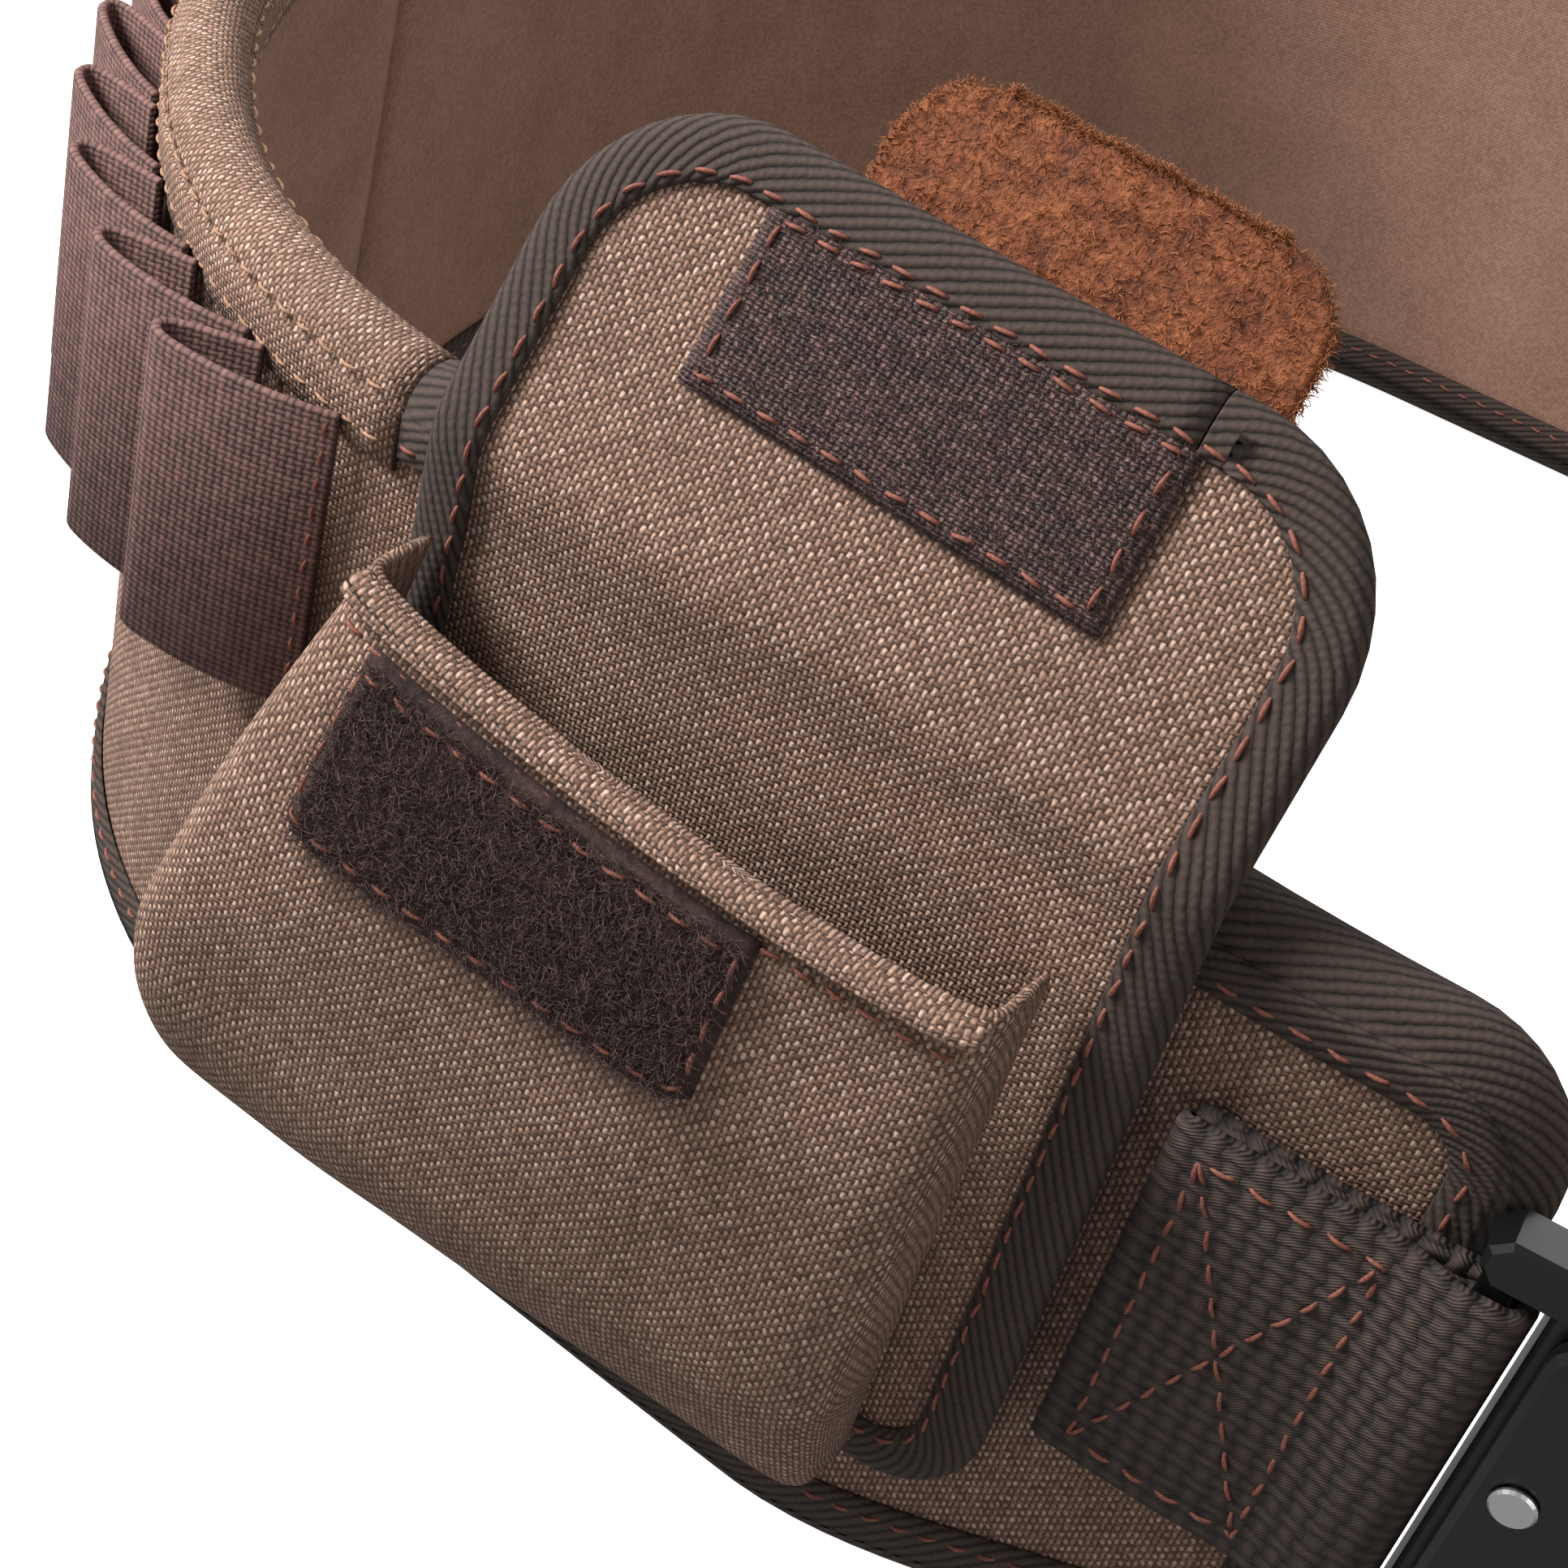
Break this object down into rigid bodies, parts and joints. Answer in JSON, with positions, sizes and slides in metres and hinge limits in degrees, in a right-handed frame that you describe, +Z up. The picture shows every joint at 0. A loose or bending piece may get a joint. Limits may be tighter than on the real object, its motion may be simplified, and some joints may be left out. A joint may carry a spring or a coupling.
{
  "type": "tool belt",
  "caption": "Padded canvas tool belt with bound edges, elastic tool loops, a small open flap pouch and a side release buckle on webbing.",
  "frame": {"origin": "middle of the belt's bounding box, at the floor that its bottom edge stands on", "axes": "+X along the front from the pouch to the buckle, -Y out of the front, +Z up"},
  "size_m": [0.452, 0.355, 0.1649],
  "materials": {
    "canvas": "coarse woven canvas, taupe brown",
    "foam": "hidden foam stiffener",
    "lining": "smooth woven lining, brown",
    "binding": "twill tape, dark grey brown",
    "elastic": "ribbed elastic, mauve brown",
    "webbing": "heavy webbing, near black brown",
    "loop_tape": "fuzzy loop tape",
    "hook_tape": "hook tape",
    "leather": "suede, orange brown",
    "black_metal": "gloss black",
    "steel": "bright rivets and springs"
  },
  "bodies": {
    "belt": {"buckle_body": "black_metal", "buckle_cover": "black_metal", "canvas_outer": "canvas", "edge_binding_back": "binding", "edge_binding_left": "binding", "edge_binding_right": "binding", "elastic_loop_01": "elastic", "elastic_loop_02": "elastic", "elastic_loop_03": "elastic", "elastic_loop_04": "elastic", "elastic_loop_05": "elastic", "elastic_loop_06": "elastic", "elastic_loop_07": "elastic", "elastic_loop_08": "elastic", "elastic_loop_09": "elastic", "elastic_loop_10": "elastic", "foam_back": "foam", "foam_left": "foam", "foam_right": "foam", "lining_back": "lining", "lining_left": "lining", "lining_right": "lining", "loop_tape": "loop_tape", "pouch_back": "canvas", "pouch_binding": "binding", "pouch_front": "canvas", "release_spring_lower": "steel", "release_spring_upper": "steel", "rivet_1": "steel", "rivet_2": "steel", "rivet_3": "steel", "strap_bar": "black_metal", "strap_keeper": "elastic", "top_hem": "canvas", "webbing_left": "webbing", "webbing_right": "webbing"},
    "flap": {"flap_panel": "canvas", "flap_binding": "binding", "hook_tape": "hook_tape", "leather_tab": "leather"},
    "male_half": {"tongue_frame": "black_metal", "adjuster_bar": "black_metal", "webbing_tail": "webbing"},
    "button_upper": {"release_button_upper": "black_metal"},
    "button_lower": {"release_button_lower": "black_metal"}
  },
  "joints": [
    {"name": "flap_hinge", "type": "hinge", "parent": "belt", "child": "flap", "pos_m": [-0.07604, -0.15295, 0.1187], "axis": [0.9866, -0.1631, 0], "range_deg": [0, 156]},
    {"name": "tongue_slide", "type": "slide", "parent": "belt", "child": "male_half", "axis": [1, 0, 0], "range_m": [0, 0.018]},
    {"name": "button_upper_press", "type": "slide", "parent": "belt", "child": "button_upper", "axis": [0, 0, -1], "range_m": [0, 0.0022], "stiffness_N_per_m": 600, "springref_m": -0.001, "deforming": ["release_spring_upper"]},
    {"name": "button_lower_press", "type": "slide", "parent": "belt", "child": "button_lower", "axis": [0, 0, 1], "range_m": [0, 0.0022], "stiffness_N_per_m": 600, "springref_m": -0.001, "deforming": ["release_spring_lower"]}
  ]
}
